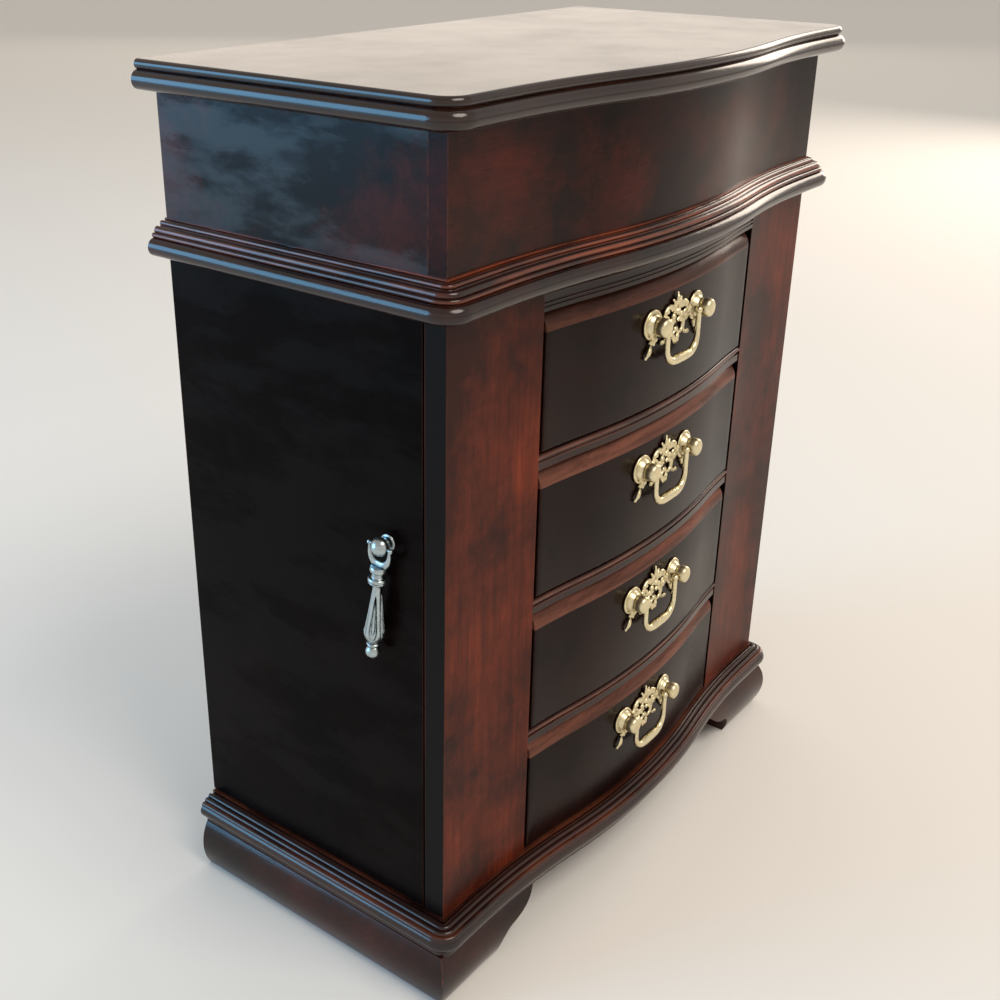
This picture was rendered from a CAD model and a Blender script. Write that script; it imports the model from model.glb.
import math

import bmesh
import bpy
from mathutils import Matrix, Vector, noise


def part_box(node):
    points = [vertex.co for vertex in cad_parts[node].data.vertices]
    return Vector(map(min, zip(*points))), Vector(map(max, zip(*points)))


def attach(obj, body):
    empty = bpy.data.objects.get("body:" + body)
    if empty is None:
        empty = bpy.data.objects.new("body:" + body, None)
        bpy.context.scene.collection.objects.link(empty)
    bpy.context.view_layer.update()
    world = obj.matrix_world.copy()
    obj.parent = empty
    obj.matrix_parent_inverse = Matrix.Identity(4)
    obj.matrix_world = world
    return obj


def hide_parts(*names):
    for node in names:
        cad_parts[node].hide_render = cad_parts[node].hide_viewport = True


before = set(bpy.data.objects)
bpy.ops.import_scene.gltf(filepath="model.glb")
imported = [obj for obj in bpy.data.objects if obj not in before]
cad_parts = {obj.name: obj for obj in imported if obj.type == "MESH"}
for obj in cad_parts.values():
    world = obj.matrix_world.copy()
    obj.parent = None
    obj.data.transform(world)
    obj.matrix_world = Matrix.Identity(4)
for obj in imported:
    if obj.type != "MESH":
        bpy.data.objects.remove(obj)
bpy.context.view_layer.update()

# The camera stands off the left front corner of the box, a little above its lid, and looks down
# on it as the photograph does, with the same lens and crop.
MM = 0.001
scene = bpy.context.scene
scene.view_settings.view_transform = "Standard"
camera_data = bpy.data.cameras.new("camera")
camera_data.sensor_width = 36
camera_data.lens = 47.28
camera_data.shift_x = 0.0506
camera_data.shift_y = -0.0158
camera = bpy.data.objects.new("camera", camera_data)
camera.location = Vector((-458.34, -311.70, 421.26)) * MM
camera.rotation_euler = [math.radians(angle) for angle in (65.291, -0.393, -51.858)]
scene.collection.objects.link(camera)
scene.camera = camera


# The studio is a plain pale floor and a pale surround, brightest round the horizon. One soft lamp
# hangs over the front, warm panels stand on the right and behind, and a cool one on the left.
def linear(hex_colour):
    """The linear colour of an sRGB hex value, with alpha."""
    parts = [int(hex_colour[i:i + 2], 16) / 255 for i in (1, 3, 5)]
    return [c / 12.92 if c <= 0.04045 else ((c + 0.055) / 1.055) ** 2.4 for c in parts] + [1.0]


def add(tree, kind, inputs=(), **settings):
    """Adds one node: settings are its own, and inputs gives each socket a value or another node's output."""
    made = tree.nodes.new(kind)
    for name, value in settings.items():
        setattr(made, name, value)
    for name, value in dict(inputs).items():
        if isinstance(value, bpy.types.NodeSocket):
            tree.links.new(value, made.inputs[name])
        else:
            made.inputs[name].default_value = value
    return made


def new_material(name):
    """An empty material that is painted by nodes, and its node tree."""
    made = bpy.data.materials.new(name)
    made.use_nodes = True
    made.node_tree.nodes.clear()
    return made, made.node_tree


def surface(tree, looks):
    """Closes a material with the surface that its looks give."""
    shader = add(tree, "ShaderNodeBsdfPrincipled", looks)
    add(tree, "ShaderNodeOutputMaterial", {"Surface": shader.outputs[0]})


floor_reach = 14.0
floor_data = bpy.data.meshes.new("floor")
floor_corners = [(sx * floor_reach, sy * floor_reach, 0) for sx, sy in ((-1, -1), (1, -1), (1, 1), (-1, 1))]
floor_data.from_pydata(floor_corners, [], [(0, 1, 2, 3)])
floor = bpy.data.objects.new("floor", floor_data)
scene.collection.objects.link(floor)
pale_paint, tree = new_material("pale_matt_paint")
surface(tree, {"Base Color": linear("#e6e4e0"), "Roughness": 0.9, "Specular IOR Level": 0.1})
floor_data.materials.append(pale_paint)

world = bpy.data.worlds.new("surround")
scene.world = world
world.use_nodes = True
tree = world.node_tree
tree.nodes.clear()
toward = add(tree, "ShaderNodeTexCoord").outputs["Generated"]
height = add(tree, "ShaderNodeSeparateXYZ", {0: toward}).outputs[2]
strength = add(tree, "ShaderNodeMapRange", {
    "Value": height, "From Min": 0.15, "From Max": 0.7, "To Min": 1.0, "To Max": 0.65},
    interpolation_type="SMOOTHSTEP")
surround = add(tree, "ShaderNodeBackground", {"Color": linear("#ece5dc"), "Strength": strength.outputs[0]})
add(tree, "ShaderNodeOutputWorld", {"Surface": surround.outputs[0]})


def soft_lamp(name, place, target, width, height, power, colour):
    """A soft lamp with rounded sides at a place, turned to a target, in metres and watts."""
    data = bpy.data.lights.new(name, "AREA")
    data.shape = "ELLIPSE"
    data.size = width
    data.size_y = height
    data.energy = power
    data.color = linear(colour)[:3]
    lamp = bpy.data.objects.new(name, data)
    lamp.location = place
    lamp.rotation_euler = (Vector(target) - Vector(place)).to_track_quat("-Z", "Y").to_euler()
    lamp.visible_camera = False
    scene.collection.objects.link(lamp)


soft_lamp("top_lamp", (-0.1, -1.1, 1.7), (0, 0, 0.2), 1.2, 0.9, 19, "#fff4e8")
soft_lamp("warm_panel", (2.1, -0.05, 0.84), (0, 0, 0.3), 0.9, 1.2, 16, "#ffeedd")
soft_lamp("back_panel", (2.7, 2.05, 0.8), (0, 0, 0.3), 3.2, 1.1, 5, "#ffe9d4")
soft_lamp("cool_panel", (-1.5, 1.3, 0.68), (0, 0, 0.3), 1.3, 1.25, 25, "#74c6fb")


# The case is mahogany, stained nearly black on the doors and redder on the pilasters, under a
# clear lacquer that is rubbed to a satin gloss. It shows cloudy stain, fine pores along the grain,
# a faint orange peel, and the lighter wood where edges and mouldings are rubbed.

# Each axis of a pattern is squeezed by these, so that the pattern is drawn out along the grain.
GRAIN = {"x": (0.05, 1, 1), "y": (1, 0.05, 1), "z": (1, 1, 0.05), "round": (0.1, 0.1, 1)}
# Widths of what the lacquer shows. Real pores are a third as wide: they are drawn coarser to show.
cloud_mm = 60
figure_mm = 2.4
patch_mm = 4
pore_mm = 0.6
handling_mm = 34
haze_mm = 26
peel_mm = 2.2
ripple_mm = 1.3
relief_mm = 0.03
rubbed_edge_mm = 0.9
soft_band_mm = 0.3


def noise_factor(tree, place, size_mm, low, high, detail=2, rough=0.5):
    """Noise with features of a real size, turned to 0 below low and 1 above high."""
    grain = add(tree, "ShaderNodeTexNoise", {
        "Vector": place, "Scale": 1 / (size_mm * MM), "Detail": detail, "Roughness": rough})
    return add(tree, "ShaderNodeMapRange", {
        "Value": grain.outputs[0], "From Min": low, "From Max": high}).outputs[0]


def stained(tree, colour, stain, where, share=1.0):
    """A colour that a stain covers where a pattern is 1, as far as the share."""
    strength = add(tree, "ShaderNodeMath", {0: where, 1: share}, operation="MULTIPLY").outputs[0]
    return add(tree, "ShaderNodeMix", {0: strength, 6: colour, 7: linear(stain)}, data_type="RGBA").outputs[2]


def soft_band(tree, height, low, high, share):
    """The share between two heights in mm and 0 beyond them, with soft edges."""
    rise = add(tree, "ShaderNodeMapRange", {
        "Value": height, "From Min": (low - soft_band_mm) * MM,
        "From Max": (low + soft_band_mm) * MM}).outputs[0]
    fall = add(tree, "ShaderNodeMapRange", {
        "Value": height, "From Min": (high + soft_band_mm) * MM,
        "From Max": (high - soft_band_mm) * MM, "To Max": share}).outputs[0]
    return add(tree, "ShaderNodeMath", {0: rise, 1: fall}, operation="MULTIPLY").outputs[0]


def lacquered(name, dark, red, along, worn="#7d4128", bands=(), repeat=0, rough=(0.16, 0.26),
              cloud=(0.4, 0.75), haze=0.0, level=0.3, edge=0.5, figured=0.4,
              dark_sides=False, wear_contrast=1.0):
    """Lacquered mahogany. bands are (from, to, share) in height, in mm, where the stain is rubbed off."""
    made, tree = new_material(name)
    place = add(tree, "ShaderNodeTexCoord").outputs["Object"]
    stretched = add(tree, "ShaderNodeVectorMath", {
        0: place, 1: GRAIN[along]}, operation="MULTIPLY").outputs[0]
    clouds = noise_factor(tree, place, cloud_mm, cloud[0], cloud[1], 5, 0.68)
    colour = stained(tree, linear(dark), red, clouds)
    figure = noise_factor(tree, stretched, figure_mm, 0.3, 0.75, 4)
    colour = stained(tree, colour, dark, figure, figured)
    patches = noise_factor(tree, stretched, patch_mm, 0.35, 0.65, 4)
    if dark_sides:
        faces = add(tree, "ShaderNodeNewGeometry").outputs["Normal"]
        sideways = add(tree, "ShaderNodeSeparateXYZ", {0: faces}).outputs[0]
        beside = add(tree, "ShaderNodeMath", {0: sideways}, operation="ABSOLUTE").outputs[0]
        beside = add(tree, "ShaderNodeMath", {0: beside, 1: 0.8}, operation="GREATER_THAN").outputs[0]
        colour = stained(tree, colour, "#0b0707", beside)
    if bands:
        height = add(tree, "ShaderNodeSeparateXYZ", {0: place}).outputs[2]
        if repeat:
            start = bands[0][0]
            height = add(tree, "ShaderNodeMath", {
                0: height, 1: start * MM, 2: (start + repeat) * MM}, operation="WRAP").outputs[0]
        uneven = add(tree, "ShaderNodeMapRange", {
            "Value": patches, "To Min": 1 - wear_contrast}).outputs[0]
        for low, high, share in bands:
            inside = soft_band(tree, height, low, high, share)
            rubbed = add(tree, "ShaderNodeMath", {0: inside, 1: uneven}, operation="MULTIPLY").outputs[0]
            colour = stained(tree, colour, worn, rubbed)
    rounded = add(tree, "ShaderNodeBevel", {"Radius": rubbed_edge_mm * MM}, samples=4).outputs[0]
    true_normal = add(tree, "ShaderNodeNewGeometry").outputs["Normal"]
    turned_by = add(tree, "ShaderNodeVectorMath", {0: rounded, 1: true_normal}, operation="DOT_PRODUCT")
    at_edge = add(tree, "ShaderNodeMapRange", {
        "Value": turned_by.outputs["Value"], "From Min": 0.985, "From Max": 0.85, "To Max": edge}).outputs[0]
    edge_wear = add(tree, "ShaderNodeMath", {0: at_edge, 1: patches}, operation="MULTIPLY").outputs[0]
    colour = stained(tree, colour, worn, edge_wear)
    pores = noise_factor(tree, stretched, pore_mm, 0.6, 0.72, 1)
    colour = stained(tree, colour, "#0a0504", pores, 0.35)
    handling = noise_factor(tree, place, handling_mm, 0.3, 0.7, 3)
    gloss = add(tree, "ShaderNodeMapRange", {
        "Value": handling, "To Min": rough[0], "To Max": rough[1]}).outputs[0]
    if haze:
        wiped = add(tree, "ShaderNodeVectorMath", {
            0: place, 1: (0.45, 0.45, 1.3)}, operation="MULTIPLY").outputs[0]
        bloom = noise_factor(tree, wiped, haze_mm, 0.44, 0.56, 5, 0.6)
        gloss = add(tree, "ShaderNodeMath", {
            0: bloom, 1: 0.14, 2: gloss}, operation="MULTIPLY_ADD").outputs[0]
        level = add(tree, "ShaderNodeMapRange", {
            "Value": bloom, "To Min": level * (1 - haze), "To Max": level}).outputs[0]
    peel = add(tree, "ShaderNodeTexNoise", {"Vector": place, "Scale": 1 / (peel_mm * MM), "Detail": 2})
    ripple = add(tree, "ShaderNodeTexNoise", {
        "Vector": stretched, "Scale": 1 / (ripple_mm * MM), "Detail": 2})
    under = {}
    for relief, strength, sunk in (
            (peel.outputs[0], 0.5, False), (ripple.outputs[0], 0.5, False), (pores, 0.4, True)):
        bump = add(tree, "ShaderNodeBump", {
            "Height": relief, "Strength": strength, "Distance": relief_mm * MM, **under}, invert=sunk)
        under = {"Normal": bump.outputs[0]}
    surface(tree, {
        "Base Color": colour, "Roughness": gloss, "IOR": 1.5, "Specular IOR Level": level, **under})
    return made


def paint(material, *names):
    """Gives CAD nodes their finish."""
    for name in names:
        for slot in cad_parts[name].material_slots:
            slot.material = material


def soften(width_mm, *names):
    """Breaks the sharp edges of flat-sided CAD boards, as sandpaper does before the lacquer."""
    for name in names:
        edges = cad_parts[name].modifiers.new("broken_edges", "BEVEL")
        edges.width = width_mm * MM
        edges.segments = 2
        edges.limit_method = "ANGLE"
        edges.angle_limit = math.radians(40)
        edges.harden_normals = True


base_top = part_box("base_board")[1].z / MM
waist_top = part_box("waist_board")[1].z / MM
moulding_gloss = (0.13, 0.2)
case_wood = lacquered("mahogany_case", "#120908", "#2b140e", "z")
foot_wood = lacquered("mahogany_feet", "#1a0c0a", "#47201a", "round", rough=moulding_gloss)
base_wood = lacquered("mahogany_base", "#150a09", "#3c1a13", "round", "#7a4430",
                      [(base_top - 3.6, base_top - 2.4, 0.5), (base_top - 0.5, base_top + 1, 0.4)],
                      rough=moulding_gloss, level=0.5)
waist_wood = lacquered("mahogany_waist", "#150a09", "#3b1912", "round", "#9a4a2a",
                       [(waist_top - 5.8, waist_top - 5.1, 0.7), (waist_top - 4, waist_top - 3, 0.7),
                        (waist_top - 2, waist_top - 1.2, 0.7), (waist_top - 0.4, waist_top + 1, 0.6)],
                       rough=moulding_gloss, level=0.5)
pilaster_wood = lacquered("red_mahogany_pilaster", "#2c0f0a", "#80341c", "z", rough=(0.26, 0.34), level=0.1,
                          figured=0.65, dark_sides=True)
paint(foot_wood, "front_feet", "plinth_left", "plinth_right", "plinth_back")
paint(base_wood, "base_board")
paint(waist_wood, "waist_board")
paint(case_wood, "partitions", "back_panel")
paint(pilaster_wood, "pilaster_left", "pilaster_right")
soften(0.5, "partitions", "back_panel", "plinth_back")

# Rails between the drawers: the drawer fronts are parted by dark boards with a bead on the upper
# edge, where the stain is rubbed, and a groove under it; a grooved frieze tops them.
drawers = (1, 2, 3, 4)
rail_height = 6.4
rail_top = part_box("drawer_dividers")[0].z / MM + rail_height
drawer_low = {k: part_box(f"drawer_{k}_front")[0] for k in drawers}
drawer_high = {k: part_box(f"drawer_{k}_front")[1] for k in drawers}
drawer_pitch = (drawer_low[1].z - drawer_low[2].z) / MM
rail_wood = lacquered("red_mahogany_rail", "#190c09", "#3a1810", "round", "#8a5544",
                      [(rail_top - 2.2, rail_top - 0.6, 0.6)], drawer_pitch, rough=moulding_gloss)
frieze_wood = lacquered("red_mahogany_frieze", "#150b09", "#2a130e", "round")
paint(rail_wood, "drawer_dividers")
paint(frieze_wood, "top_rail")

# The upper tray: four lacquered walls on the waist board, and over them the hinged lid with its
# rounded moulding. The front wall follows the serpentine, and its stain is the reddest; the side
# walls are clouded and hazy where the lacquer was wiped.
tray_wood = lacquered("red_mahogany_tray_sides", "#0d0706", "#42160e", "x",
                      cloud=(0.47, 0.62), haze=0.6, level=0.42)
tray_front_wood = lacquered("red_mahogany_tray_front", "#150605", "#4c170d", "x", cloud=(0.45, 0.72),
                            rough=(0.17, 0.24), level=0.15)
lid_wood = lacquered("mahogany_lid", "#1b0f0c", "#301811", "x", "#6e3a26", rough=moulding_gloss, level=0.55)
paint(tray_wood, "upper_left", "upper_right", "upper_back")
paint(tray_front_wood, "upper_front")
paint(lid_wood, "lid_board")
soften(0.5, "upper_left", "upper_right", "upper_back")

# The side doors are flat mahogany boards with broken edges, hung at the rear on brass butt hinges.
# Their stain is the blackest of the box, under lacquer with a weak and uneven shine.
door_wood = lacquered("mahogany_door", "#080505", "#120907", "z", level=0.05, haze=0.35, edge=0.3)
paint(door_wood, "door_left_panel", "door_right_panel")
soften(0.8, "door_left_panel", "door_right_panel")


# Drawer fronts: solid mahogany sawn to the bow and the two hollows of the front. The top edge is
# rounded over and rubbed to the tan wood, so the grain shows there; the other edges are just broken.
def skin(shape, rings, loop=False):
    """Joins closed rings of equal counts to a surface in shape, a pair of points and faces."""
    points, faces = shape
    first = len(points)
    count = len(rings[0])
    for ring in rings:
        points.extend(ring)
    for r in range(len(rings) - (0 if loop else 1)):
        here = first + r * count
        there = first + (r + 1) % len(rings) * count
        for i in range(count):
            j = (i + 1) % count
            faces.append((here + i, here + j, there + j, there + i))
    if not loop:
        faces.append(tuple(first + i for i in reversed(range(count))))
        faces.append(tuple(first + (len(rings) - 1) * count + i for i in range(count)))


def piece(name, shape, material, body, nodes=(), sharp=40):
    """Makes a piece of the object from a shape in metres, which rides on a body."""
    data = bpy.data.meshes.new(name)
    data.from_pydata([tuple(p) for p in shape[0]], [], shape[1])
    work = bmesh.new()
    work.from_mesh(data)
    bmesh.ops.remove_doubles(work, verts=work.verts, dist=0.002 * MM)
    bmesh.ops.recalc_face_normals(work, faces=work.faces)
    work.to_mesh(data)
    work.free()
    data.shade_smooth()
    data.set_sharp_from_angle(angle=math.radians(sharp))
    data.materials.append(material)
    made = bpy.data.objects.new(name, data)
    scene.collection.objects.link(made)
    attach(made, body)
    if nodes:
        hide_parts(*nodes)
    return made


bow_r = 321 * MM
bow_y = drawer_low[1].y + bow_r
hollow_x = 118 * MM
hollow_r = 380.2 * MM
hollow_y = drawer_low[1].y + 10 * MM - hollow_r
meet_angle = math.atan2(hollow_x, bow_y - hollow_y)
round_high = 7.6 * MM
round_deep = 4.3 * MM


def front_point(angle, inset=0.0):
    """Point and outward direction of the serpentine front, by its angle round the bow or hollow."""
    side = 1 if angle >= 0 else -1
    turn = abs(angle)
    if turn <= meet_angle:
        outward = Vector((math.sin(angle), -math.cos(angle)))
        return Vector((0, bow_y)) + (bow_r - inset) * outward, outward
    back = 2 * meet_angle - turn
    outward = Vector((side * math.sin(back), -math.cos(back)))
    middle = Vector((side * hollow_x, hollow_y))
    return middle - (hollow_r + inset) * outward, outward


def front_angle(x):
    """The angle of the place on the serpentine front at a distance from the middle."""
    if abs(x) <= bow_r * math.sin(meet_angle):
        return math.asin(x / bow_r)
    back = math.asin((hollow_x - abs(x)) / hollow_r)
    return math.copysign(2 * meet_angle - back, x)


def edge_rounding(radius, steps):
    """Pairs of inset and distance from an end, that turn a quarter circle."""
    turns = [math.pi / 2 * i / steps for i in range(steps + 1)]
    return [(radius * (1 - math.sin(t)), radius * (1 - math.cos(t))) for t in turns]


def drawer_front(low, high):
    """The closed surface of one drawer front, as rings that run across its width."""
    shape = ([], [])
    ease = 0.7 * MM
    stations = 72
    round_steps = 12
    round_r = (round_deep ** 2 + round_high ** 2) / (2 * round_deep)
    sweep = math.asin(round_high / round_r)
    ends = edge_rounding(ease, 3)
    across = [(low.x + away, inset) for inset, away in ends]
    across += [(low.x + ease + (high.x - low.x - 2 * ease) * i / stations, 0) for i in range(1, stations)]
    across += [(high.x - away, inset) for inset, away in reversed(ends)]
    profile = [(inset, low.z + away) for inset, away in ends]
    for i in range(1, round_steps + 1):
        turn = sweep * i / round_steps
        profile.append((round_r * (1 - math.cos(turn)), high.z - round_high + round_r * math.sin(turn)))
    rings = []
    for x, side_inset in across:
        ring = []
        for inset, z in profile:
            point, _ = front_point(front_angle(x), max(inset, side_inset))
            ring.append(Vector((point.x, point.y, z)))
        ring.append(Vector((x, high.y, high.z)))
        ring.append(Vector((x, high.y, low.z)))
        rings.append(ring)
    skin(shape, rings)
    return shape


face_top = drawer_high[4].z / MM
# How far the top edge is rubbed, from the top drawer down.
worn_share = {1: 0.4, 2: 0.85, 3: 0.95, 4: 0.9}
for k in drawers:
    drawer_wood = lacquered(f"mahogany_drawer_front_{k}", "#100605", "#26100b", "x", "#774a3c",
                            [(face_top - 7.2, face_top + 2, worn_share[k])], drawer_pitch, (0.2, 0.28),
                            level=0.11, wear_contrast=0.6)
    piece(f"drawer_{k}_face", drawer_front(drawer_low[k], drawer_high[k]), drawer_wood,
          f"drawer_{k}", [f"drawer_{k}_front"])

# Drawer boxes: thin boards of a plain brown wood, butted and glued. They have only a wash of stain
# and no lacquer, so they stay matt and show their growth rings and open pores.
growth_mm = 2.6
open_pore_mm = 0.5
plain_wood, tree = new_material("washed_drawer_wood")
place = add(tree, "ShaderNodeTexCoord").outputs["Object"]
stretched = add(tree, "ShaderNodeVectorMath", {0: place, 1: GRAIN["y"]}, operation="MULTIPLY").outputs[0]
rings_of_growth = noise_factor(tree, stretched, growth_mm, 0.3, 0.7, 4)
colour = stained(tree, linear("#5f3a24"), "#80553a", rings_of_growth)
pores = noise_factor(tree, stretched, open_pore_mm, 0.55, 0.7, 1)
colour = stained(tree, colour, "#452716", pores)
bump = add(tree, "ShaderNodeBump", {"Height": pores, "Strength": 0.5, "Distance": 0.05 * MM}, invert=True)
surface(tree, {
    "Base Color": colour, "Roughness": 0.55, "Specular IOR Level": 0.35, "Normal": bump.outputs[0]})
drawer_boxes = [f"drawer_{k}_box" for k in drawers]
paint(plain_wood, *drawer_boxes)
soften(0.4, *drawer_boxes)


# Drawer pulls: zinc castings under an antique champagne brass plate, lacquered. Two turned posts
# on dished rosettes carry scrolls and leaves between them; hollows stay brown, high spots pale.
def plated_metal(name, bright, deep, rough, deep_reach_mm, grain=0.2):
    """Plated metal: its hollows keep the dark of the plating, its high spots are polished."""
    made, tree = new_material(name)
    dull_spot_mm = 1.6
    sand_mm = 0.5
    place = add(tree, "ShaderNodeTexCoord").outputs["Object"]
    shade = add(tree, "ShaderNodeAmbientOcclusion", {"Distance": deep_reach_mm * MM}, samples=8)
    open_share = add(tree, "ShaderNodeMapRange", {
        "Value": shade.outputs["AO"], "From Min": 0.35, "From Max": 0.85}).outputs[0]
    colour = stained(tree, linear(deep), bright, open_share)
    dulled = noise_factor(tree, place, dull_spot_mm, 0.45, 0.75, 3)
    colour = stained(tree, colour, deep, dulled, 0.14)
    gloss = add(tree, "ShaderNodeMapRange", {
        "Value": dulled, "To Min": rough[0], "To Max": rough[1]}).outputs[0]
    grit = add(tree, "ShaderNodeTexNoise", {"Vector": place, "Scale": 1 / (sand_mm * MM), "Detail": 2})
    bump = add(tree, "ShaderNodeBump", {
        "Height": grit.outputs[0], "Strength": grain, "Distance": 0.03 * MM})
    surface(tree, {
        "Base Color": colour, "Metallic": 1.0, "Roughness": gloss, "Normal": bump.outputs[0]})
    return made


def circle(count):
    """Cosine and sine of each of the equal steps round a circle."""
    turns = [2 * math.pi * i / count for i in range(count)]
    return [(math.cos(turn), math.sin(turn)) for turn in turns]


def turned(shape, profile, foot, axis, steps=40):
    """A turned form: profile gives (distance along axis, radius) from foot."""
    axis = Vector(axis).normalized()
    aside = axis.cross(Vector((0, 0, 1)) if abs(axis.z) < 0.9 else Vector((1, 0, 0))).normalized()
    over = axis.cross(aside)
    rings = []
    for out, radius in profile:
        middle = Vector(foot) + axis * out
        rings.append([middle + radius * (c * aside + s * over) for c, s in circle(steps)])
    skin(shape, rings)


def smooth_profile(points, steps=4):
    """A rounder profile through the given points, as a Catmull-Rom curve."""
    made = []
    for i in range(len(points) - 1):
        p = [Vector(points[max(0, min(len(points) - 1, i + j))]) for j in (-1, 0, 1, 2)]
        for s in range(steps):
            t = s / steps
            made.append(0.5 * (2 * p[1] + (p[2] - p[0]) * t + (2 * p[0] - 5 * p[1] + 4 * p[2] - p[3]) * t ** 2
                               + (3 * p[1] - p[0] - 3 * p[2] + p[3]) * t ** 3))
    made.append(Vector(points[-1]))
    return made


def ahead_at(path, i):
    """The direction of a path at one of its points."""
    return (path[min(i + 1, len(path) - 1)] - path[max(i - 1, 0)]).normalized()


def strand(shape, path, radii, sides=14, flat=1.0):
    """A rod along a path, with a radius at each of its points; flat squeezes it front to back."""
    rings = []
    for i, point in enumerate(path):
        ahead = ahead_at(path, i)
        out = Vector((0, -1, 0)) if abs(ahead.y) < 0.9 else Vector((0, 0, 1))
        side = ahead.cross(out).normalized()
        out = side.cross(ahead)
        rings.append([point + radii[i] * (c * side + flat * s * out) for c, s in circle(sides)])
    skin(shape, rings)


pull_cc = 34.8 * MM
pull_rise = 36 * MM
post_angle = math.asin(pull_cc / 2 / bow_r)
post_profile = smooth_profile([
    (0.02, 6.0), (0.35, 6.2), (0.8, 6.22), (1.15, 5.95), (1.25, 5.45), (1.05, 5.0), (1.25, 4.75), (1.8, 4.5),
    (2.3, 4.05), (2.8, 3.7), (3.3, 3.5), (3.8, 3.5), (4.2, 3.65), (4.7, 3.83), (5.5, 3.9), (6.8, 3.86),
    (7.7, 3.55), (8.2, 2.95), (8.45, 2.1), (8.54, 1.0), (8.56, 0.05)], 3)


def on_front(x, z, lift):
    """A point in front of the bowed drawer front, lifted off it, in mm from the middle of the pull."""
    reach = bow_r + lift * MM
    return Vector((x * MM, bow_y - math.sqrt(reach ** 2 - (x * MM) ** 2), z * MM))


def scroll(shape, centre, radius, start, end, thick, thin, lift=0.75, bead=0.0):
    """A scroll of the casting: an arc that tapers, with an optional bead at its end. Angles in degrees."""
    degrees_a_step = 14
    count = max(8, int(abs(end - start) / degrees_a_step))
    path = []
    radii = []
    for i in range(count + 1):
        share = i / count
        turn = math.radians(start + (end - start) * share)
        path.append(on_front(centre[0] + radius * math.cos(turn), centre[1] + radius * math.sin(turn), lift))
        fade_in = 0.75 + 0.25 * math.sin(math.pi * min(1, share * 3 + 0.2) / 2)
        radii.append(1.12 * (thick + (thin - thick) * share ** 1.3) * MM * fade_in)
    strand(shape, path, radii)
    if bead:
        knob(shape, path[-1], bead)


def knob(shape, centre, radius):
    """A bead of the casting, in mm."""
    profile = [(-radius * math.cos(math.pi * i / 8) * MM, max(0.02, radius * math.sin(math.pi * i / 8)) * MM)
               for i in range(9)]
    turned(shape, profile, centre, (0, 0, 1), 16)


def leaf(shape, root, tip, width, lift=0.8):
    """A pointed leaf of the casting from root to tip, fullest near its root."""
    path = []
    radii = []
    for i in range(11):
        share = i / 10
        path.append(on_front(root[0] + (tip[0] - root[0]) * share, root[1] + (tip[1] - root[1]) * share,
                             lift + 0.5 * math.sin(math.pi * share)))
        radii.append(width * MM * max(0.12, math.sin(math.pi * min(1, 0.15 + share * 0.85)) ** 0.8))
    strand(shape, path, radii, flat=0.75)


def openwork():
    """The scrolls, leaves and beads between the posts, as loose solids that run into each other."""
    shape = ([], [])
    leaf(shape, (0, 4.2), (0, 9.6), 1.35)
    knob(shape, on_front(0, 9.4, 0.9), 0.62)
    knob(shape, on_front(0, 1.8, 1.1), 1.55)
    knob(shape, on_front(0, -10, 0.9), 1.4)
    for side in (-1, 1):
        leaf(shape, (side * 0.8, 3.0), (side * 3.1, 7.4), 1.05)
        knob(shape, on_front(side * 3.0, 7.0, 0.8), 0.6)
        leaf(shape, (side * 3.4, 2.6), (side * 6.4, 5.6), 1.05)
        leaf(shape, (side * 6.2, 2.6), (side * 9.6, 4.0), 0.95)
        knob(shape, on_front(side * 2.9, 0.2, 1.0), 1.45)
        scroll(shape, (side * 5.4, 1), 3.8, 90 - side * 96, 90 + side * 84, 0.95, 0.75)
        knob(shape, on_front(side * 10.4, 0.4, 0.8), 1.6)
        scroll(shape, (side * 8, -1.2), 1.95, 90 - side * 30, 90 + side * 270, 0.8, 0.65, bead=0.9)
        scroll(shape, (side * 3.3, -4.6), 3.05, 90 + side * 50, 90 - side * 250, 0.95, 0.7, bead=1.15)
        knob(shape, on_front(side * 3.6, -2.4, 1.1), 1.15)
        scroll(shape, (side * 9.6, -5.2), 3.9, 90 - side * 38, 90 + side * 190, 1.0, 0.7, bead=1.05)
        leaf(shape, (side * 1.9, -9.0), (side * 0.3, -12.2), 1.0)
        knob(shape, on_front(side * 1.7, -9, 0.8), 1.2)
        scroll(shape, (side * 20.6, -7.6), 3.95, 90 + side * 8, 90 + side * 106, 1.05, 0.85)
        scroll(shape, (side * 16.2, -9.4), 3.3, 90 + side * 30, 90 - side * 60, 0.9, 0.95)
        leaf(shape, (side * 18.4, -8.6), (side * 21.6, -13.4), 1.25)
        knob(shape, on_front(side * 21.4, -13, 0.8), 0.8)
        knob(shape, on_front(side * 15.8, -6.4, 0.8), 1.35)
    return shape


# The plate is pale gold and satin bright; the scrolls are cast in one, so they melt into each other.
champagne = plated_metal("antique_champagne_brass", "#e4d8b2", "#584226", (0.3, 0.4), 2.2)
casting_data = bpy.data.meshes.new("casting")
casting_shape = openwork()
casting_data.from_pydata([tuple(p) for p in casting_shape[0]], [], casting_shape[1])
casting = bpy.data.objects.new("casting", casting_data)
scene.collection.objects.link(casting)
remesh = casting.modifiers.new("one_casting", "REMESH")
remesh.mode = "VOXEL"
remesh.voxel_size = 0.22 * MM
relax = casting.modifiers.new("relax", "SMOOTH")
relax.factor = 0.5
relax.iterations = 3
cast_mesh = bpy.data.meshes.new_from_object(casting.evaluated_get(bpy.context.evaluated_depsgraph_get()))
bpy.data.objects.remove(casting)
cast_points = [vertex.co.copy() for vertex in cast_mesh.vertices]
cast_faces = [tuple(face.vertices) for face in cast_mesh.polygons]

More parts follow.
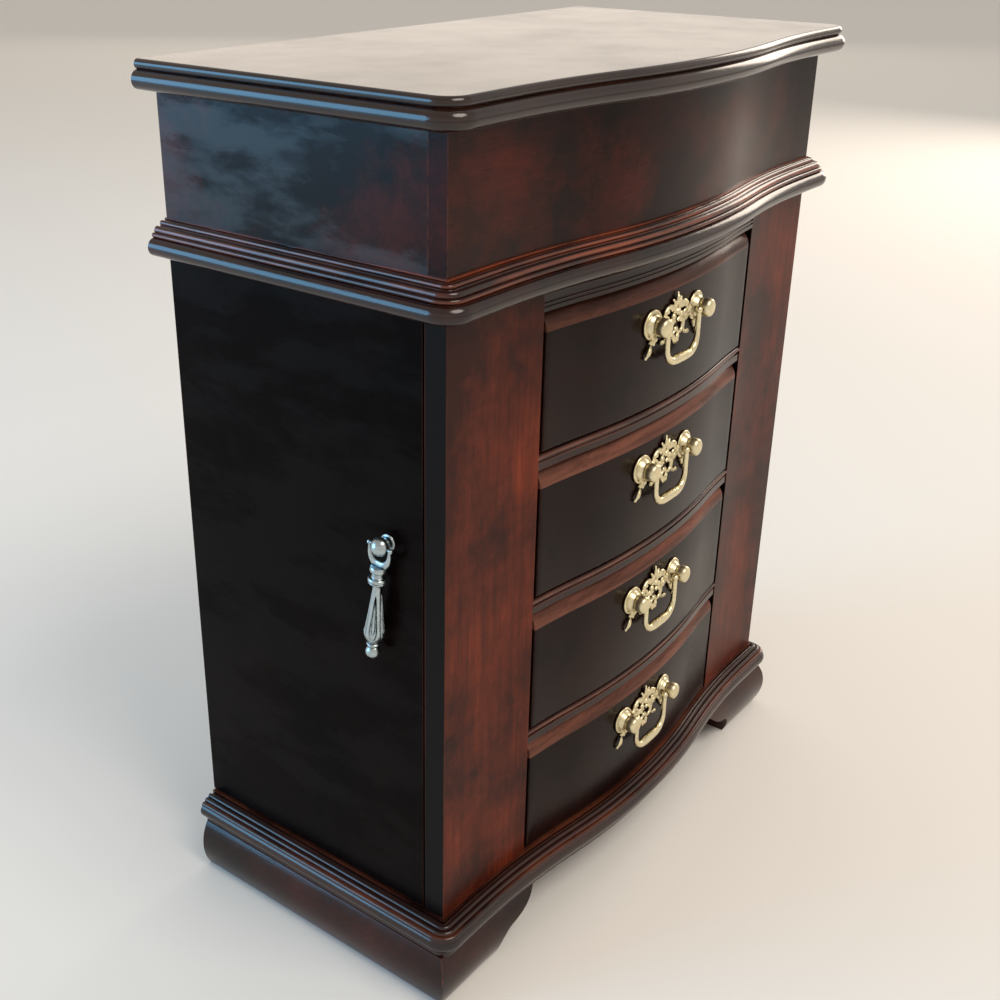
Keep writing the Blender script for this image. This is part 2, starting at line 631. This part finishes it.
for k in drawers:
    pull_z = drawer_low[k].z + pull_rise
    shape = ([p + Vector((0, 0, pull_z)) for p in cast_points], list(cast_faces))
    for side in (-1, 1):
        foot, outward = front_point(side * post_angle, 0)
        turned(shape, [(out * MM, r * MM) for out, r in post_profile],
               (foot.x, foot.y, pull_z), (outward.x, outward.y, 0))
    piece(f"pull_{k}", shape, champagne, f"drawer_{k}", [f"drawer_{k}_pull"], sharp=60)

# Bail handles: a cast loop that hangs on two pins in the necks of the posts. It has a bulb at
# each pin, round arms, and a grip that swells to nearly twice their thickness, worn bright.
pivot_out = 5 * MM
pivot_x = (bow_r + pivot_out) * math.sin(post_angle)
pivot_y = bow_y - (bow_r + pivot_out) * math.cos(post_angle)
arm_x = pull_cc / 2 - 5 * MM
bail_drop = 16.8 * MM
bail_corner = 6.5 * MM


def bail(z):
    """One bail round its pins at a height. Each length of it has a radius that swells, in mm."""
    arm_r, arm_swell = 1.12, 0.08
    corner_r, corner_swell = 1.2, 0.7
    grip_r, grip_swell = 1.9, 0.18
    shape = ([], [])
    path = []
    radii = []
    steps = 12
    for i in range(steps + 1):
        share = i / steps
        path.append(Vector((-arm_x, pivot_y, z - share * (bail_drop - bail_corner))))
        radii.append((arm_r + arm_swell * share) * MM)
    for i in range(1, steps + 1):
        turn = math.pi / 2 * i / steps
        path.append(Vector((bail_corner - arm_x - bail_corner * math.cos(turn), pivot_y,
                            z - bail_drop + bail_corner - bail_corner * math.sin(turn))))
        radii.append((corner_r + corner_swell * (i / steps) ** 1.5) * MM)
    grip_half = arm_x - bail_corner
    for i in range(1, steps + 1):
        share = i / steps
        path.append(Vector((-grip_half * (1 - share), pivot_y, z - bail_drop)))
        radii.append((grip_r + grip_swell * math.sin(math.pi / 2 * min(1, share * 1.6))) * MM)
    mirrored = [Vector((-p.x, p.y, p.z)) for p in reversed(path[:-1])]
    strand(shape, path + mirrored, radii + list(reversed(radii[:-1])), 20)
    bulb_r = 1.58
    pin_r = 0.8 * MM
    pin_end = 1.2 * MM
    half_turns = [math.pi * i / 10 for i in range(11)]
    bulb = [(-bulb_r * math.cos(t) * MM, max(0.02, bulb_r * math.sin(t)) * MM) for t in half_turns]
    for side in (-1, 1):
        centre = Vector((side * arm_x, pivot_y, z))
        turned(shape, bulb, centre, (side, 0, 0), 24)
        turned(shape, [(0, pin_r), (pivot_x - arm_x + pin_end, pin_r)], centre, (side, 0, 0), 16)
    return shape


bail_metal = plated_metal("worn_champagne_brass", "#e6dab5", "#5c4628", (0.25, 0.36), 1.8)
for k in drawers:
    piece(f"bail_{k}_handle", bail(drawer_low[k].z + pull_rise), bail_metal,
          f"bail_{k}", [f"drawer_{k}_bail"], sharp=60)

# Drop handles of the doors: pewter plated castings, grey and bright on the high spots, nearly black
# in the grooves. A ball on a round base carries a crescent fork on a pin, and under it hang a
# collar of two rings, a fluted drop with leaves, and a ball tip.
pewter = plated_metal("antique_pewter", "#b3bfc2", "#333b3a", (0.24, 0.34), 2.2, 0.06)
ball_out = 5 * MM
door_face = 136 * MM
post_low, post_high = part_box("door_left_post")
drop_y = (post_low.y + post_high.y) / 2
drop_z = (post_low.z + post_high.z) / 2
lean = math.radians(5.5)
drop_from = 7.0
drop_to = 31.2


def drop_radius(down, turn):
    """Radius in mm of the fluted drop, at a distance under the fork's top and an angle round it."""
    neck, full = 7.2, 26.6
    neck_r, full_r, end_r = 1.8, 4.05, 2.2
    if down < full:
        share = (down - neck) / (full - neck)
        radius = neck_r + (full_r - neck_r) * max(0, share) ** 1.25
    else:
        share = (down - full) / (drop_to - full)
        radius = full_r - (full_r - end_r) * share ** 2
    leaves = 5
    lead = math.radians(174)
    phase = abs(((turn - lead) * leaves / (2 * math.pi)) % 1 - 0.5)
    leaf_top = 9.5
    line = 0.05
    for leaf_end, spread, depth in ((29.2, 0.43, 0.5), (26.6, 0.22, 0.42)):
        along = (down - leaf_top) / (leaf_end - leaf_top)
        if 0 < along < 1:
            half = spread * along ** 0.7 * (1 - along ** 5) ** 0.5
            off = (phase - half) / line
            radius -= depth * math.exp(-off * off) * min(1, along * 6, (1 - along) * 30)
    return radius


def fork_arm(shape, path, radii):
    """An arm of the fork, flat on both sides of the door's face. Sizes in mm."""
    half_thick = 0.85
    across = Vector((1, 0, 0))
    rings = []
    for i, point in enumerate(path):
        side = ahead_at(path, i).cross(across).normalized()
        rings.append([point + radii[i] * c * side + half_thick * s * across for c, s in circle(16)])
    skin(shape, rings)


def drop_handle(side):
    """Fork, pin heads, collar, fluted drop and tip, hanging under the ball's middle. Sizes in mm."""
    shape = ([], [])
    arm_reach, round_reach, round_drop, straight = 4.62, 4.6, 5.3, 2.6
    straight_r, straight_swell = 0.62, 0.03
    round_r, round_swell = 0.76, 1.3
    pin_half, pin_r = 5.05, 0.6
    pin_head = [(-0.2, 0.85), (0.35, 0.92), (0.7, 0.7), (0.85, 0.3), (0.88, 0.02)]
    for half in (-1, 1):
        path = []
        radii = []
        for i in range(5):
            path.append(Vector((0, half * arm_reach, -straight * i / 5)))
            radii.append(straight_r + straight_swell * i)
        for i in range(17):
            turn = math.pi / 2 * i / 16
            path.append(Vector((
                0, half * round_reach * math.cos(turn), -straight - round_drop * math.sin(turn))))
            radii.append(round_r + round_swell * (i / 16) ** 1.15)
        fork_arm(shape, path, radii)
        turned(shape, pin_head, (0, half * pin_half, 0), (0, half, 0), 20)
    turned(shape, [(-pin_half, pin_r), (pin_half, pin_r)], (0, 0, 0), (0, 1, 0), 16)
    top = -10.15
    collar = smooth_profile([
        (-1.9, 2.95), (-1.5, 3.2), (-0.9, 3.28), (-0.2, 3.28), (0.1, 3.05), (0.35, 2.7), (1.0, 2.5),
        (1.9, 2.45), (2.4, 2.6), (2.6, 3.1), (2.75, 3.55), (3.3, 3.85), (3.9, 3.8), (4.15, 3.45),
        (4.4, 3.7), (4.9, 3.55), (5.4, 2.85), (5.9, 2.15), (6.5, 1.85), (7.2, 1.78)], 3)
    turned(shape, collar, (0, 0, top), (0, 0, -1), 36)
    rings = []
    steps = 180
    levels = 120
    for i in range(levels + 1):
        down = drop_from + (drop_to - drop_from) * i / levels
        ring = []
        for s in range(steps):
            turn = 2 * math.pi * s / steps
            radius = drop_radius(down, turn)
            ring.append(Vector((radius * math.cos(turn), radius * math.sin(turn), top - down)))
        rings.append(ring)
    skin(shape, rings)
    tip = smooth_profile([
        (31.0, 2.25), (31.3, 2.1), (31.6, 2.5), (32.0, 2.8), (32.5, 2.5), (32.85, 1.8), (33.2, 1.7),
        (33.7, 2.2), (34.6, 2.78), (35.7, 2.95), (36.9, 2.7), (38.0, 1.75), (38.5, 0.6), (38.6, 0.03)], 3)
    turned(shape, tip, (0, 0, top), (0, 0, -1), 36)
    turn_back = Matrix.Rotation(lean, 4, "X")
    centre = Vector((side * (door_face + ball_out), drop_y, drop_z))
    return [centre + (turn_back @ p) * MM for p in shape[0]], shape[1]


ball_profile = smooth_profile([
    (0.02, 3.3), (0.4, 3.4), (0.9, 3.3), (1.25, 2.8), (1.4, 2.1), (1.7, 1.55), (2.2, 1.5), (2.6, 1.85),
    (3.1, 2.75), (4.0, 3.45), (5.0, 3.7), (6.1, 3.5), (7.2, 2.85), (8.1, 1.85), (8.55, 0.8), (8.65, 0.03)], 4)
ball_profile = [(out * MM, radius * MM) for out, radius in ball_profile]
for side, word in ((-1, "left"), (1, "right")):
    shape = ([], [])
    turned(shape, ball_profile, (side * door_face, drop_y, drop_z), (side, 0, 0), 48)
    piece(f"handle_{word}_ball", shape, pewter, f"door_{word}", [f"door_{word}_post"], sharp=60)
    piece(f"handle_{word}_drop", drop_handle(side), pewter,
          f"drop_{word}", [f"drop_{word}"], sharp=50)

# Hinges, hooks and catches: pressed brass butt hinges, satin bright, held by small pan head screws
# with cross slots; brass plated wire hooks under the tray for necklaces; and, in a dull moulded
# case, a magnet that holds each door by a strike of grey zinc plated steel.
hinge_brass = plated_metal("pressed_brass", "#b79a5c", "#5f4a26", (0.25, 0.4), 1.5)
hook_brass = plated_metal("plated_wire", "#c9b884", "#5a4a2c", (0.2, 0.35), 1.2)
strike_steel = plated_metal("zinc_plated_steel", "#a3a7ab", "#4d5054", (0.3, 0.42), 1.0)
screw_steel = plated_metal("brassed_screw", "#c2a76a", "#4c3a1e", (0.25, 0.35), 0.8)
paint(hinge_brass, "door_hinge_case", "lid_hinge_case", "lid_hinge_leaf")
paint(hinge_brass, "door_left_hinge", "door_right_hinge")
paint(hook_brass, "necklace_hooks")
paint(strike_steel, "door_left_strike", "door_right_strike")

leaf_w = 8 * MM
barrel_r = 1.6 * MM
hinge_half = 12 * MM
screw_out = (leaf_w + barrel_r) / 2
screw_up = 7.5 * MM
hinge_low, hinge_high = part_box("door_hinge_case")
leaf_back = hinge_low.y + 0.8 * MM
door_pin_x = hinge_high.x - barrel_r
lid_hinge_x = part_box("lid_hinge_case")[1].x - hinge_half
lid_pin_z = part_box("lid_hinge_leaf")[1].z - leaf_w
screw_profile = ((1.3, -0.05), (1.32, 0.15), (1.2, 0.38), (0.95, 0.5),
                 (0.75, 0.54), (0.55, 0.56), (0.35, 0.57), (0.15, 0.57))
slot_reach = 0.9
slot_half = 0.17
slot_deep = 0.34


def screw(shape, x, z, turn):
    """A pan head screw on the back of a hinge leaf, with a cross slot turned by an angle."""
    rings = []
    for radius, out in screw_profile:
        ring = []
        for c, s in circle(32):
            px = radius * c
            pz = radius * s
            in_slot = radius < slot_reach and min(abs(px), abs(pz)) < slot_half
            up = out - (slot_deep if in_slot else 0)
            ring.append(Vector((x + (px * math.cos(turn) - pz * math.sin(turn)) * MM, leaf_back + up * MM,
                                z + (px * math.sin(turn) + pz * math.cos(turn)) * MM)))
        rings.append(ring)
    skin(shape, rings)


door_hinge_z = (hinge_low.z + hinge_half, hinge_high.z - hinge_half)
door_screw_z = [z + up for z in door_hinge_z for up in (-screw_up, screw_up)]
lid_screw_x = [side * lid_hinge_x + along for side in (-1, 1) for along in (-screw_up, screw_up)]
moving_x = door_pin_x + screw_out
fixed_x = door_pin_x - screw_out
screw_count = 0
for name, body, places in (
        ("screws_left_door", "door_left", [(-moving_x, z) for z in door_screw_z]),
        ("screws_right_door", "door_right", [(moving_x, z) for z in door_screw_z]),
        ("screws_case", "case", [(side * fixed_x, z) for side in (-1, 1) for z in door_screw_z]),
        ("screws_tray", "case", [(x, lid_pin_z - screw_out) for x in lid_screw_x]),
        ("screws_lid", "lid", [(x, lid_pin_z + screw_out) for x in lid_screw_x])):
    shape = ([], [])
    for x, z in places:
        screw(shape, x, z, 1.9 * screw_count)
        screw_count += 1
    piece(name, shape, screw_steel, body, sharp=50)

magnet_case, tree = new_material("moulded_magnet_case")
place = add(tree, "ShaderNodeTexCoord").outputs["Object"]
speckle_mm = 0.4
speckle = noise_factor(tree, place, speckle_mm, 0.4, 0.6, 2)
colour = stained(tree, linear("#26211f"), "#35302c", speckle)
bump = add(tree, "ShaderNodeBump", {"Height": speckle, "Strength": 0.3, "Distance": 0.02 * MM})
surface(tree, {"Base Color": colour, "Roughness": 0.5, "Normal": bump.outputs[0]})
paint(magnet_case, "catch_magnets")
soften(0.5, "catch_magnets")

# Inside: velvet glued over card lines the tray, the drawers and the side compartments. Its short
# pile is dark from the front and paler along its edges, and brushed in faint patches. A tuft is
# about 0.1 mm wide: it is drawn coarser, so that it shows.
brushed_mm = 22
tuft_mm = 0.45
velvet, tree = new_material("short_pile_velvet")
place = add(tree, "ShaderNodeTexCoord").outputs["Object"]
brushed = noise_factor(tree, place, brushed_mm, 0.35, 0.65, 3)
colour = stained(tree, linear("#33090f"), "#4a1019", brushed)
pile = noise_factor(tree, place, tuft_mm, 0.3, 0.7, 2)
colour = stained(tree, colour, "#5e1823", pile, 0.3)
bump = add(tree, "ShaderNodeBump", {"Height": pile, "Strength": 0.6, "Distance": 0.15 * MM})
surface(tree, {
    "Base Color": colour, "Roughness": 0.85, "Specular IOR Level": 0.2, "Sheen Weight": 0.8,
    "Sheen Roughness": 0.4, "Sheen Tint": linear("#c0707c"), "Normal": bump.outputs[0]})


def pad(shape, low, high, flat_axis, crown=0.0, edge=0.4 * MM, steps=14):
    """A lining panel or pad between two corners: its thickness is rounded off at the edges, and it swells."""
    low = Vector(low)
    high = Vector(high)
    u, v = [axis for axis in range(3) if axis != flat_axis]
    centre = (low + high) / 2
    half = (high - low) / 2

    def places(reach):
        rim = [-reach + edge * (1 - math.cos(math.pi / 2 * i / 3)) for i in range(3)]
        inner = [-reach + edge + (2 * reach - 2 * edge) * i / steps for i in range(steps + 1)]
        return rim + inner + [-p for p in reversed(rim)]

    def share(p, reach):
        left = min(1, max(0, (reach - abs(p)) / edge))
        return math.sqrt(max(0, 1 - (1 - left) ** 2))

    us = places(half[u])
    vs = places(half[v])
    rings = []
    for pu in us:
        ring = []
        for side in (1, -1):
            for pv in (vs if side > 0 else reversed(vs)):
                thick = half[flat_axis] * min(share(pu, half[u]), share(pv, half[v])) ** 0.8
                rise = crown * (1 - (pu / half[u]) ** 2) * (1 - (pv / half[v]) ** 2) if side > 0 else 0
                point = centre.copy()
                point[u] += pu
                point[v] += pv
                point[flat_axis] += side * thick + rise
                ring.append(point)
        rings.append(ring)
    skin(shape, rings)


lining = 0.8 * MM
floor_pad = 1.2 * MM


def box_linings(low, high):
    """Four wall panels and a floor pad that line a box, open at the top."""
    shape = ([], [])
    wall_foot = low.z + floor_pad * 0.6
    tucked = lining * 0.6
    pad(shape, low, (high.x, high.y, low.z + floor_pad), 2, 0.3 * MM)
    for x in (low.x, high.x - lining):
        pad(shape, (x, low.y, wall_foot), (x + lining, high.y, high.z), 0)
    for y in (low.y, high.y - lining):
        pad(shape, (low.x + tucked, y, wall_foot), (high.x - tucked, y + lining, high.z), 1)
    return shape


for k in drawers:
    low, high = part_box(f"drawer_{k}_lining")
    lined = piece(f"drawer_{k}_velvet", box_linings(low, high), velvet,
                  f"drawer_{k}", [f"drawer_{k}_lining"], sharp=60)

for word in ("left", "right"):
    shape = ([], [])
    low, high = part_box(f"door_{word}_lining")
    pad(shape, low, high, 0, 0, 0.5 * MM, 24)
    lined = piece(f"door_{word}_velvet", shape, velvet,
                  f"door_{word}", [f"door_{word}_lining"], sharp=60)

shape = ([], [])
low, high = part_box("side_linings")
part_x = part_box("partitions")[1].x
for side in (-1, 1):
    near, far = sorted((side * part_x, side * (part_x + lining)))
    pad(shape, (near, low.y, low.z), (far, high.y, high.z), 0)
    near, far = sorted((side * (part_x + lining / 2), side * high.x))
    pad(shape, (near, high.y - lining, low.z), (far, high.y, high.z), 1)
    pad(shape, (near, low.y, low.z), (far, high.y, low.z + lining), 2)
lined = piece("side_velvet", shape, velvet, "case", ["side_linings"], sharp=60)

# The tray: a soft floor pad, walls that follow the serpentine, velvet-covered dividers, and four
# rolls of wadding in velvet that hold rings between them. The velvet is sewn and glued down.
tray_low, tray_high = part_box("tray_lining")
wall = 8 * MM


def tray_outline(inset):
    """Plan of the tray inside its walls, set in, from the left front corner round to the left rear."""
    half = tray_high.x - inset
    stations = 60
    points = []
    for i in range(stations + 1):
        x = -half + 2 * half * i / stations
        reach = min(abs(x), hollow_x)
        point, _ = front_point(front_angle(math.copysign(reach, x)))
        points.append(Vector((x, point.y + wall + inset)))
    points.append(Vector((half, tray_high.y - inset)))
    points.append(Vector((-half, tray_high.y - inset)))
    return points


shape = ([], [])
rim = []
for inset, up in ((0, 0), (0, 0.5), (0.15, 0.8), (0.4, 1), (0.65, 0.8), (0.8, 0.5), (0.8, 0)):
    height = tray_low.z if up == 0 else tray_high.z - (1 - up) * lining
    rim.append([Vector((p.x, p.y, height)) for p in tray_outline(inset * MM)])
skin(shape, rim, loop=True)
floor_rings = []
for inset, up in ((0.5, 0), (0.5, 0.5), (0.8, 0.9), (1.6, 1.15), (3.5, 1.2)):
    floor_rings.append([Vector((p.x, p.y, tray_low.z + up * MM)) for p in tray_outline(inset * MM)])
skin(shape, floor_rings)
lined = piece("tray_velvet", shape, velvet, "case", ["tray_lining"], sharp=60)

divider_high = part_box("tray_dividers")[1]
divider_t = 4 * MM
divider_edge = 1.6 * MM
roll_low, roll_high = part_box("ring_rolls")
long_y = roll_high.y + 2 * MM
inner_half = tray_high.x - lining
rear_x = 42 * MM
cross_x = 10 * MM
cross_front = front_point(front_angle(cross_x))[0].y + wall + lining
top_z = divider_high.z
bottom_z = tray_low.z + floor_pad
shape = ([], [])
pad(shape, (-inner_half, long_y, bottom_z), (inner_half, long_y + divider_t, top_z), 1, 0, divider_edge, 24)
for x in (-rear_x, rear_x):
    pad(shape, (x - divider_t / 2, long_y + divider_t, bottom_z), (x + divider_t / 2, divider_high.y, top_z),
        0, 0, divider_edge, 16)
pad(shape, (cross_x, cross_front, bottom_z), (cross_x + divider_t, long_y, top_z), 0, 0, divider_edge, 16)
lined = piece("tray_divider_velvet", shape, velvet, "case", ["tray_dividers"], sharp=60)

rolls = 4
roll_r = 6.3 * MM
roll_pitch = 13.5 * MM
roll_rings = 61
roll_sides = 48
pressed_flat = bottom_z + 0.02 * MM


def slack_roll(middle_y, phase):
    """One roll before it is stuffed: a bag, gathered at its ends, a little smaller than the roll."""
    length = roll_high.x - roll_low.x
    tucked_length = 2.6 * MM
    puckered_length = 6 * MM
    puckers = 14
    sag = 0.5 * MM
    rings = []
    for s in range(roll_rings):
        share = s / (roll_rings - 1)
        x = roll_low.x + length * share
        end = min(share, 1 - share) * length
        tuck = min(1, end / tucked_length)
        fullness = math.sqrt(max(0.0, 1 - (1 - tuck) ** 2)) * 0.82 + 0.18 * tuck
        ring = []
        for t in range(roll_sides):
            turn = 2 * math.pi * t / roll_sides
            pucker = 0.05 * math.cos(puckers * turn + phase) * max(0, 1 - end / puckered_length)
            wave = 0.02 * noise.noise(Vector((x * 60 + phase * 7, 2 * math.cos(turn), 2 * math.sin(turn))))
            radius = max(0.02 * MM, roll_r * fullness * (0.95 + pucker + wave))
            z = bottom_z + roll_r - sag + radius * math.sin(turn)
            ring.append(Vector((x, middle_y + radius * math.cos(turn), max(z, pressed_flat))))
        rings.append(ring)
    return rings


def stuff(shape, held, reach, ceiling):
    """Cloth blown up from inside, sewn down at the held points; no point moves more than reach."""
    enlarge = 25
    last_frame = 20
    data = bpy.data.meshes.new("bag")
    data.from_pydata([tuple(p * enlarge) for p in shape[0]], [], shape[1])
    bag = bpy.data.objects.new("bag", data)
    scene.collection.objects.link(bag)
    sewn = bag.vertex_groups.new(name="sewn")
    sewn.add(held, 1.0, "REPLACE")
    cloth = bag.modifiers.new("cloth", "CLOTH")
    cloth.settings.quality = 6
    cloth.settings.use_pressure = True
    cloth.settings.uniform_pressure_force = 4
    cloth.settings.effector_weights.gravity = 0
    cloth.settings.shrink_min = -0.06
    cloth.settings.bending_stiffness = 0.1
    cloth.settings.vertex_group_mass = "sewn"
    cloth.point_cache.frame_end = last_frame
    for frame_number in range(1, last_frame + 1):
        scene.frame_set(frame_number)
    stuffed = bpy.data.meshes.new_from_object(bag.evaluated_get(bpy.context.evaluated_depsgraph_get()))
    moved = []
    for before, vertex in zip(shape[0], stuffed.vertices):
        step = vertex.co / enlarge - before
        if step.length > reach:
            step = step.normalized() * reach
        after = before + step
        after.z = min(ceiling, max(after.z, pressed_flat))
        moved.append(after)
    scene.frame_set(1)
    bpy.data.objects.remove(bag)
    return moved, shape[1]


shape = ([], [])
held = []
stretch = 0.6 * MM
for i in range(rolls):
    first = len(shape[0])
    skin(shape, slack_roll(roll_high.y - roll_r - i * roll_pitch, i))
    ends = list(range(roll_sides)) + list(range((roll_rings - 1) * roll_sides, roll_rings * roll_sides))
    lowest = roll_sides * 3 // 4
    seam = [s * roll_sides + lowest + beside for s in range(roll_rings) for beside in (-2, -1, 0, 1, 2)]
    held += [first + index for index in sorted(set(ends + seam))]
shape = stuff(shape, held, stretch, roll_high.z)
lined = piece("ring_roll_velvet", shape, velvet, "case", ["ring_rolls"], sharp=60)

# The mirror: silvered float glass held under the lid in a rebated mahogany frame. The silver gives
# back nearly all light, a little cool, and a faint film of dust makes it less sharp in patches.
film_mm = 35
silvered, tree = new_material("silvered_glass")
place = add(tree, "ShaderNodeTexCoord").outputs["Object"]
film = noise_factor(tree, place, film_mm, 0.3, 0.8, 3)
gloss = add(tree, "ShaderNodeMapRange", {"Value": film, "To Min": 0.01, "To Max": 0.035}).outputs[0]
colour = stained(tree, linear("#e3e8e7"), "#dbe1e1", film)
surface(tree, {"Base Color": colour, "Metallic": 1.0, "Roughness": gloss})
paint(silvered, "mirror")
frame_wood = lacquered("red_mahogany_frame", "#24100c", "#4a2015", "x")
paint(frame_wood, "mirror_frame")
soften(0.6, "mirror_frame")
